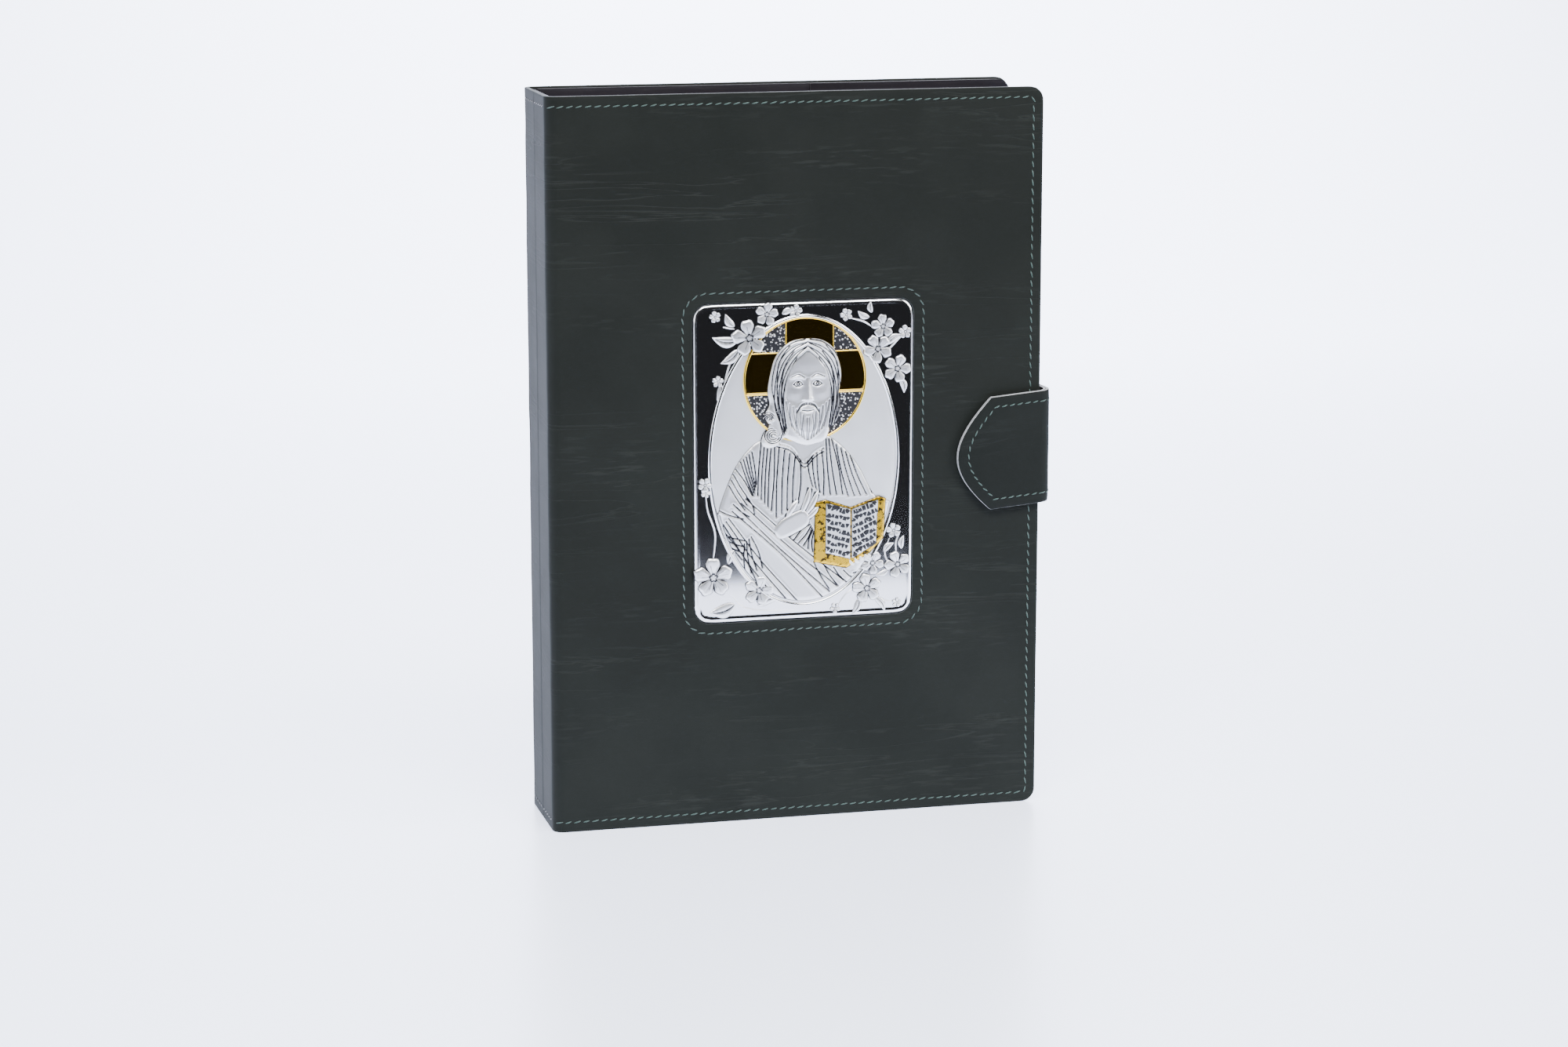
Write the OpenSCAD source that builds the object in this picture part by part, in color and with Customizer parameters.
// Prayer book in a leather jacket with a strap clasp.
// The book stands on its lower edge: X runs from the spine to the fore-edge,
// Y from the front cover to the back cover, and Z up.

/* [Cover] */
// Height of the cover
cover_h = 320; // [240:1:400]
// Width of the cover from the spine to the fore-edge
cover_w = 219; // [180:1:270]
// Thickness of the closed book over both covers
cover_d = 53; // [43:1:70]
// Thickness of the cover leather
leather_t = 2; // [1.2:0.1:2.5]
// Outer radius of the rolled leather at the hinges
roll_r = 5; // [4:0.5:7]
// Radius of the two outer corners of a cover
corner_r = 6; // [5:0.5:12]
// Thickness of the stiffening boards
board_t = 2; // [1.6:0.1:3]
// How far the boards stay inside the edge of the leather
board_inset = 0.8; // [0.4:0.1:2]
// Thickness of the lining
lining_t = 0.8; // [0.4:0.1:1.2]

/* [Pockets] */
// Width of the pocket inside each cover
pocket_w = 92; // [50:1:120]
// Thickness of the pocket leather
pocket_t = 1; // [0.6:0.1:1.6]

/* [Seams] */
// Distance of a seam from the edge it follows
seam_inset = 4; // [3:0.1:4.5]
// Width of the thread
thread_w = 0.9; // [0.5:0.1:1.2]
// Depth of the thread in the leather
thread_sink = 0.3; // [0.2:0.1:0.6]
// Height of the thread over the leather
thread_rise = 0.15; // [0.1:0.05:0.4]

/* [Plate] */
// Width of the silver plate
plate_w = 98; // [60:1:120]
// Height of the silver plate
plate_h = 140; // [100:1:180]
// Corner radius of the silver plate
plate_r = 7; // [4:0.5:15]
// Thickness of the silver sheet
plate_t = 0.5; // [0.3:0.1:0.8]
// Height of the plate's ground over the leather
plate_rise = 0.8; // [0.6:0.1:1.5]
// Height of the relief over the plate's ground
relief_h = 1.2; // [0.6:0.1:1.3]
// Width of the flange that the leather holds down
flange_w = 3; // [1.5:0.1:4]
// Distance of the seam from the plate
plate_seam = 5; // [4.5:0.1:8]

/* [Strap] */
// Height of the strap
strap_h = 50; // [30:1:70]
// Thickness of the strap's leather
strap_leather_t = 1.4; // [1:0.1:2]
// Thickness of the strap's lining
strap_lining_t = 1.2; // [1:0.1:2]
// Length of the strap over the front cover
strap_front = 38; // [34:1:60]
// Length of the strap sewn to the back cover
strap_back = 46; // [30:1:80]
// Depth of the rounded tip, from its point to its shoulders
strap_tip_len = 15; // [8:0.5:24]
// How far the bend stands past the cover's edge
strap_reach = 4.5; // [4:0.1:8]
// Outer radius of the strap's bends
strap_roll = 4.5; // [4:0.1:6]
// Radius of the closing magnets
magnet_r = 6; // [4:0.5:8]
// Thickness of the closing magnets
magnet_t = 1.2; // [0.8:0.1:1.5]

/* [Book] */
// Width of the pages
page_w = 200; // [150:1:201]
// Height of the pages
page_h = 302; // [200:1:302]
// How far the book's own boards stand past the pages
square_w = 3; // [2:0.5:4]
// Thickness of the book's own boards
inner_board_t = 2.5; // [1.5:0.1:3]
// Number of page sections on each side of the middle opening
half_sections = 4; // [2:1:5]
// Length over which a section thins down to its sewn fold
fold_taper = 14; // [8:1:20]
// Thickness of a section at its sewn fold
fold_t = 0.4; // [0.3:0.1:0.8]
// Thickness of the card strip in the book's spine
strip_t = 1.2; // [0.8:0.1:2]
// Thickness of the cloth glued on the sewn folds
cloth_t = 0.4; // [0.2:0.1:0.6]
// Radius of the headbands
headband_r = 1.2; // [0.8:0.1:1.4]

/* [Hidden] */
$fn = 64;
slip = 0.1; // room for a piece that slides into its place
gap = 0.35; // room between pieces that turn past each other

section_count = 2 * half_sections;
section_names = [for (i = [1:section_count]) str("section_", i)];

// Depth of each layer of a cover, counted from its outer face
board_y = leather_t;
lining_y = board_y + board_t;
inner_y = lining_y + lining_t;
endpaper_t = 0.2;
pocket_y = inner_y + inner_board_t + endpaper_t + slip;
stack_y = pocket_y + pocket_t;

// Depth of each layer of the spine, counted from its outer face
spine_board_t = 1.5;
spine_lining_x = leather_t + spine_board_t;
strip_x = spine_lining_x + lining_t;
cloth_x = strip_x + strip_t;
page_x = cloth_x + cloth_t + gap;

// The page block
block_y = stack_y + gap;
section_pitch = (cover_d - 2 * block_y) / section_count;
section_t = section_pitch - gap;
middle_z = cover_h / 2;
page_z = middle_z - page_h / 2;
page_top = middle_z + page_h / 2;
inner_board_x = page_x + square_w;
inner_board_end = page_x + page_w + square_w;
inner_board_h = page_h + 2 * square_w;

// The strap
strap_t = strap_leather_t + strap_lining_t;
strap_gap = 0.3; // between the closed strap and the front cover
strap_x = cover_w + strap_reach;
strap_bend_x = strap_x - strap_roll;
strap_front_y = -strap_gap - strap_t;
strap_back_y = cover_d + strap_t;
strap_tip_x = cover_w - strap_front;
strap_tip_r = (strap_h * strap_h / 4 + strap_tip_len * strap_tip_len) / (2 * strap_tip_len);
magnet_x = cover_w - strap_front / 2;

// The plate
plate_x = (roll_r + cover_w) / 2;
plate_z = middle_z;
window_gap = 0.3;
plate_face_y = -plate_rise;
oval = [42, 63.7] * plate_w / 98;
halo_r = 27.5 * plate_w / 98;
halo_z = 36 * plate_h / 140;
rim_w = 1.2;

// The origin stands under the middle of the whole object
middle_x = strap_x / 2;
front_reach = -strap_front_y + thread_rise;
back_reach = strap_t + thread_rise;
middle_y = (cover_d + back_reach - front_reach) / 2;
thread_top = thread_rise + thread_sink;

// ---------- shared shapes ----------

module place() { translate([-middle_x, -middle_y, 0]) children(); }

module to_back() { translate([0, cover_d, 0]) mirror([0, 1, 0]) children(); }

// Turns a flat X-Z outline into a slab between two depths
module slab(y0, y1) {
    translate([0, y1, 0]) rotate([90, 0, 0]) linear_extrude(y1 - y0) children();
}

// A panel with its two fore-edge corners rounded
module panel(x0, x1, z0, z1, r) {
    translate([x0, z0]) square([x1 - x0 - r, z1 - z0]);
    translate([x0, z0 + r]) square([x1 - x0, z1 - z0 - 2 * r]);
    for (z = [z0 + r, z1 - r]) translate([x1 - r, z]) circle(r);
}

// A rounded rectangle about the origin
module round_rect(w, h, r) {
    square([w - 2 * r, h], center = true);
    square([w, h - 2 * r], center = true);
    for (x = [-1, 1], z = [-1, 1]) translate([x * (w / 2 - r), z * (h / 2 - r)]) circle(r);
}

module ellipse(rx, rz, count = 64) {
    polygon([for (i = [0:count - 1]) [rx * cos(360 * i / count), rz * sin(360 * i / count)]]);
}

// A quarter of a tube, standing, that joins two panels at a corner
module quarter_roll(r, t, x_sign, y_sign, h) {
    linear_extrude(h) intersection() {
        difference() {
            circle(r);
            circle(r - t);
        }
        translate([x_sign > 0 ? 0 : -r, y_sign > 0 ? 0 : -r]) square(r);
    }
}

// ---------- covers ----------

// A seam along the head, the fore-edge and the foot of a cover
module cover_seam(inset, x0) {
    r = max(corner_r - inset, 2 * thread_w);
    difference() {
        panel(x0, cover_w - inset, inset, cover_h - inset, r);
        panel(x0 - 1, cover_w - inset - thread_w, inset + thread_w,
            cover_h - inset - thread_w, r - thread_w);
    }
}

module cover_leather() {
    difference() {
        slab(0, leather_t) panel(roll_r, cover_w, 0, cover_h, corner_r);
        slab(-1, thread_sink) cover_seam(seam_inset, roll_r - 1);
    }
}

module cover_board() {
    slab(board_y, lining_y)
        panel(roll_r + 1, cover_w - board_inset, board_inset, cover_h - board_inset, corner_r);
}

module cover_lining() {
    slab(lining_y, inner_y)
        panel(roll_r + 1, cover_w - board_inset, board_inset, cover_h - board_inset, corner_r);
}

// A flat sleeve, open towards the spine, that takes the book's own board
module cover_pocket() {
    x0 = cover_w - pocket_w;
    difference() {
        slab(inner_y, stack_y)
            panel(x0, cover_w - board_inset, board_inset, cover_h - board_inset, corner_r);
        slab(inner_y - 1, pocket_y) translate([x0 - 1, middle_z - inner_board_h / 2 - slip])
            square([inner_board_end + slip - x0 + 1, inner_board_h + 2 * slip]);
    }
}

module cover_thread() {
    slab(-thread_rise, thread_sink) cover_seam(seam_inset, roll_r);
}

module cover_roll() {
    translate([roll_r, roll_r, 0]) quarter_roll(roll_r, leather_t, -1, -1, cover_h);
}

module plate_seam_ring() {
    r = plate_r + plate_seam;
    translate([plate_x, plate_z]) difference() {
        round_rect(plate_w + 2 * plate_seam, plate_h + 2 * plate_seam, r);
        round_rect(plate_w + 2 * plate_seam - 2 * thread_w,
            plate_h + 2 * plate_seam - 2 * thread_w, r - thread_w);
    }
}

module plate_outline(grow) {
    translate([plate_x, plate_z])
        round_rect(plate_w + 2 * grow, plate_h + 2 * grow, plate_r + grow);
}

module front_leather() {
    color([0.15, 0.18, 0.18]) place() difference() {
        cover_leather();
        slab(-1, leather_t + 1) plate_outline(window_gap);
        slab(-1, thread_sink) plate_seam_ring();
    }
}

module front_board() {
    color("tan") place() difference() {
        cover_board();
        slab(board_y - 1, board_y + plate_t) plate_outline(flange_w);
        slab(board_y - 1, board_y + magnet_t) translate([magnet_x, middle_z]) circle(magnet_r + slip);
    }
}

module front_lining() { color([0.08, 0.07, 0.09]) place() cover_lining(); }

module front_pocket() { color([0.1, 0.09, 0.11]) place() cover_pocket(); }

module front_thread() { color([0.25, 0.5, 0.45]) place() cover_thread(); }

module front_hinge_leather() { color([0.2, 0.23, 0.23]) place() cover_roll(); }

module back_leather() { color([0.15, 0.18, 0.18]) place() to_back() cover_leather(); }

module back_board() { color("tan") place() to_back() cover_board(); }

module back_lining() { color([0.08, 0.07, 0.09]) place() to_back() cover_lining(); }

module back_pocket() { color([0.1, 0.09, 0.11]) place() to_back() cover_pocket(); }

// The back seam stops on both sides of the strap's sewn end
module back_thread() {
    color([0.25, 0.5, 0.45]) place() difference() {
        to_back() cover_thread();
        slab(cover_d - 1, cover_d + 1) translate([cover_w - strap_back, middle_z - strap_h / 2])
            square([strap_back, strap_h]);
    }
}

module back_hinge_leather() { color([0.2, 0.23, 0.23]) place() to_back() cover_roll(); }

// ---------- spine ----------

module spine_seam(x0, x1) {
    for (z = [seam_inset, cover_h - seam_inset - thread_w])
        translate([x0, roll_r, z]) cube([x1 - x0, cover_d - 2 * roll_r, thread_w]);
}

module spine_leather() {
    color([0.3, 0.33, 0.33]) place() difference() {
        translate([0, roll_r, 0]) cube([leather_t, cover_d - 2 * roll_r, cover_h]);
        spine_seam(-1, thread_sink);
    }
}

module spine_board() {
    color("tan") place() translate([leather_t, roll_r + 1, board_inset])
        cube([spine_board_t, cover_d - 2 * roll_r - 2, cover_h - 2 * board_inset]);
}

module spine_lining() {
    color([0.08, 0.07, 0.09]) place() translate([spine_lining_x, roll_r + 1, board_inset])
        cube([lining_t, cover_d - 2 * roll_r - 2, cover_h - 2 * board_inset]);
}

module spine_thread() { color([0.25, 0.5, 0.45]) place() spine_seam(0, thread_sink); }

// ---------- plate ----------

// A five-petal blossom about the origin
module blossom(r) {
    circle(r / 3, $fn = 24);
    for (a = [90:72:378]) rotate(a) translate([r * 0.58, 0]) circle(r * 0.42, $fn = 24);
}

module sprig(x, z, r) { translate([x * plate_w / 98, z * plate_h / 140]) blossom(r); }

module blossoms() {
    sprig(-25, 56, 7);
    sprig(-16, 65, 4.5);
    sprig(31, 48, 6);
    sprig(34, 59, 5);
    sprig(41, 38, 5.5);
    sprig(-40, -50, 8);
    sprig(-20, -58, 6);
    sprig(28, -59, 6.5);
    sprig(31, -46, 5);
    sprig(42, -47, 5.5);
}

module oval_rim() {
    difference() {
        ellipse(oval[0], oval[1]);
        ellipse(oval[0] - rim_w, oval[1] - rim_w);
    }
}

module bust() {
    intersection() {
        ellipse(oval[0] - rim_w, oval[1] - rim_w);
        union() {
            translate([0, -6]) ellipse(38, 17);
            translate([0, -45]) square([78, 78], center = true);
        }
    }
}

module icon_plate() {
    color("silver") place() {
        difference() {
            union() {
                slab(board_y, board_y + plate_t) plate_outline(flange_w - slip);
                slab(plate_face_y, board_y + plate_t) plate_outline(0);
            }
            slab(plate_face_y + plate_t, board_y + plate_t + 1) plate_outline(-plate_t);
        }
        translate([plate_x, 0, plate_z]) {
            slab(plate_face_y - relief_h / 2, plate_face_y) oval_rim();
            slab(plate_face_y - relief_h / 2, plate_face_y) bust();
            slab(plate_face_y - relief_h / 2, plate_face_y) blossoms();
            translate([0, 0, halo_z]) {
                slab(plate_face_y - relief_h / 4, plate_face_y) circle(halo_r);
                slab(plate_face_y - relief_h, plate_face_y) translate([0, -4]) ellipse(16.5, 22);
            }
            slab(plate_face_y - relief_h, plate_face_y)
                polygon([[3, -43], [18, -48], [34, -40], [35, -18], [20, -21], [4, -18]]);
        }
    }
}

module plate_backing() {
    color("dimgray") place() slab(plate_face_y + plate_t, board_y + plate_t) plate_outline(-plate_t);
}

module plate_thread() {
    color([0.25, 0.5, 0.45]) place() slab(-thread_rise, thread_sink) plate_seam_ring();
}

// ---------- strap ----------

module strap_band(x0, x1) {
    translate([x0, middle_z - strap_h / 2]) square([x1 - x0, strap_h]);
}

// The pointed end of the strap, drawn in by an inset
module strap_tip_outline(inset, x1) {
    half = strap_h / 2 - inset;
    r = strap_tip_r - inset;
    x0 = strap_tip_x + inset;
    shoulder = r - sqrt(r * r - half * half);
    translate([0, middle_z]) {
        intersection() {
            translate([x0 + r, 0]) circle(r, $fn = 96);
            translate([x0, -half]) square([shoulder + 1, 2 * half]);
        }
        translate([x0 + shoulder, -half]) square([x1 - x0 - shoulder, 2 * half]);
    }
}

module strap_tip_seam(x1) {
    difference() {
        strap_tip_outline(seam_inset, x1);
        strap_tip_outline(seam_inset + thread_w, x1 + 1);
    }
}

module strap_magnet_well(y0, y1, r) {
    slab(y0, y1) translate([magnet_x, middle_z]) circle(r);
}

strap_lining_y = strap_front_y + strap_leather_t;
strap_magnet_y = strap_lining_y - magnet_t / 3;

module strap_tip_leather() {
    color([0.17, 0.2, 0.2]) place() difference() {
        slab(strap_front_y, strap_lining_y) strap_tip_outline(0, strap_bend_x);
        slab(strap_front_y - 1, strap_front_y + thread_sink) strap_tip_seam(strap_bend_x + 1);
        strap_magnet_well(strap_magnet_y, strap_lining_y + 1, magnet_r + slip);
    }
}

module strap_tip_lining() {
    color([0.1, 0.09, 0.11]) place() difference() {
        slab(strap_lining_y, -strap_gap) strap_tip_outline(0, strap_bend_x);
        strap_magnet_well(strap_lining_y - 1, strap_magnet_y + magnet_t, magnet_r + slip);
    }
}

module strap_tip_thread() {
    color([0.25, 0.5, 0.45]) place()
        slab(strap_front_y - thread_rise, strap_front_y + thread_sink) strap_tip_seam(strap_bend_x);
}

module strap_magnet() {
    color("silver") place()
        strap_magnet_well(strap_magnet_y, strap_magnet_y + magnet_t, magnet_r);
}

module front_magnet() {
    color("silver") place()
        slab(board_y, board_y + magnet_t) translate([magnet_x, middle_z]) circle(magnet_r);
}

module strap_fold(y, y_sign) {
    translate([strap_bend_x, y, middle_z - strap_h / 2])
        quarter_roll(strap_roll, strap_t, 1, y_sign, strap_h);
}

module strap_front_fold() {
    color([0.2, 0.23, 0.23]) place() strap_fold(strap_front_y + strap_roll, -1);
}

module strap_back_fold() {
    color([0.2, 0.23, 0.23]) place() strap_fold(strap_back_y - strap_roll, 1);
}

module strap_bridge_seam(x0, x1) {
    y0 = strap_front_y + strap_roll;
    for (z = [-1, 1])
        translate([x0, y0, middle_z + z * (strap_h / 2 - seam_inset - thread_w / 2) - thread_w / 2])
            cube([x1 - x0, strap_back_y - strap_roll - y0, thread_w]);
}

module strap_bridge() {
    color([0.17, 0.2, 0.2]) place() difference() {
        translate([strap_x - strap_t, strap_front_y + strap_roll, middle_z - strap_h / 2])
            cube([strap_t, strap_back_y - strap_front_y - 2 * strap_roll, strap_h]);
        strap_bridge_seam(strap_x - thread_sink, strap_x + 1);
    }
}

module strap_bridge_thread() {
    color([0.25, 0.5, 0.45]) place() strap_bridge_seam(strap_x - thread_sink, strap_x);
}

module strap_base_seam() {
    x0 = cover_w - strap_back + seam_inset;
    x1 = strap_bend_x - seam_inset;
    z0 = middle_z - strap_h / 2 + seam_inset;
    difference() {
        translate([x0, z0]) square([x1 - x0, strap_h - 2 * seam_inset]);
        translate([x0 + thread_w, z0 + thread_w])
            square([x1 - x0 - 2 * thread_w, strap_h - 2 * seam_inset - 2 * thread_w]);
    }
}

module strap_base() {
    color([0.17, 0.2, 0.2]) place() difference() {
        slab(cover_d, strap_back_y) strap_band(cover_w - strap_back, strap_bend_x);
        slab(strap_back_y - thread_sink, strap_back_y + 1) strap_base_seam();
    }
}

module strap_base_thread() {
    color([0.25, 0.5, 0.45]) place()
        slab(strap_back_y - thread_sink, strap_back_y + thread_rise) strap_base_seam();
}

// ---------- the book inside ----------

module board_outline(inset) {
    translate([inner_board_x + inset, middle_z - inner_board_h / 2 + inset])
        square([inner_board_end - inner_board_x - 2 * inset, inner_board_h - 2 * inset]);
}

module inner_board() { slab(inner_y, inner_y + inner_board_t) board_outline(0); }

module endpaper() {
    slab(inner_y + inner_board_t, inner_y + inner_board_t + endpaper_t) board_outline(square_w);
}

// The cloth joint between the book's spine strip and one of its boards
module joint_cloth() {
    y = inner_y + inner_board_t / 2;
    translate([0, 0, middle_z - inner_board_h / 2]) linear_extrude(inner_board_h)
        polygon([[strip_x + cloth_t, block_y], [cloth_x, block_y],
            [inner_board_x, y], [inner_board_x, y - cloth_t]]);
}

module inner_front_board() { color("saddlebrown") place() inner_board(); }

module inner_back_board() { color("saddlebrown") place() to_back() inner_board(); }

module front_endpaper() { color("ivory") place() endpaper(); }

module back_endpaper() { color("ivory") place() to_back() endpaper(); }

module front_joint_cloth() { color("maroon") place() joint_cloth(); }

module back_joint_cloth() { color("maroon") place() to_back() joint_cloth(); }

module inner_spine_strip() {
    color("saddlebrown") place() translate([strip_x, block_y, middle_z - inner_board_h / 2])
        cube([strip_t, cover_d - 2 * block_y, inner_board_h]);
}

module spine_cloth() {
    color("linen") place() translate([cloth_x, block_y, middle_z - inner_board_h / 2])
        cube([cloth_t, cover_d - 2 * block_y, inner_board_h]);
}

module band(z) {
    color("crimson") place() translate([cloth_x + cloth_t + headband_r, block_y, z])
        rotate([-90, 0, 0]) cylinder(h = cover_d - 2 * block_y, r = headband_r);
}

module headband() { band(page_top + gap + headband_r); }

module tailband() { band(page_z - gap - headband_r); }

// A section of folded leaves, thin at its sewn fold and full beyond the taper
module leaves() {
    translate([0, 0, page_z]) linear_extrude(page_h)
        polygon([[0, 0], [page_w, 0], [page_w, section_t], [fold_taper, section_t], [0, fold_t]]);
}

module section(i) {
    color("ivory") place()
        if (i <= half_sections)
            translate([page_x, block_y + gap / 2 + (i - 1) * section_pitch, 0]) leaves();
        else
            to_back() translate([page_x, block_y + gap / 2 + (section_count - i) * section_pitch, 0])
                leaves();
}

spine_leather();
spine_board();
spine_lining();
spine_thread();
front_hinge_leather();
back_hinge_leather();
front_leather();
front_board();
front_lining();
front_pocket();
front_thread();
back_leather();
back_board();
back_lining();
back_pocket();
back_thread();
icon_plate();
plate_backing();
plate_thread();
strap_base();
strap_base_thread();
strap_back_fold();
strap_bridge();
strap_bridge_thread();
strap_front_fold();
strap_tip_leather();
strap_tip_lining();
strap_tip_thread();
strap_magnet();
front_magnet();
inner_front_board();
inner_back_board();
front_endpaper();
back_endpaper();
inner_spine_strip();
front_joint_cloth();
back_joint_cloth();
spine_cloth();
headband();
tailband();
for (i = [1:section_count])
    section(i);
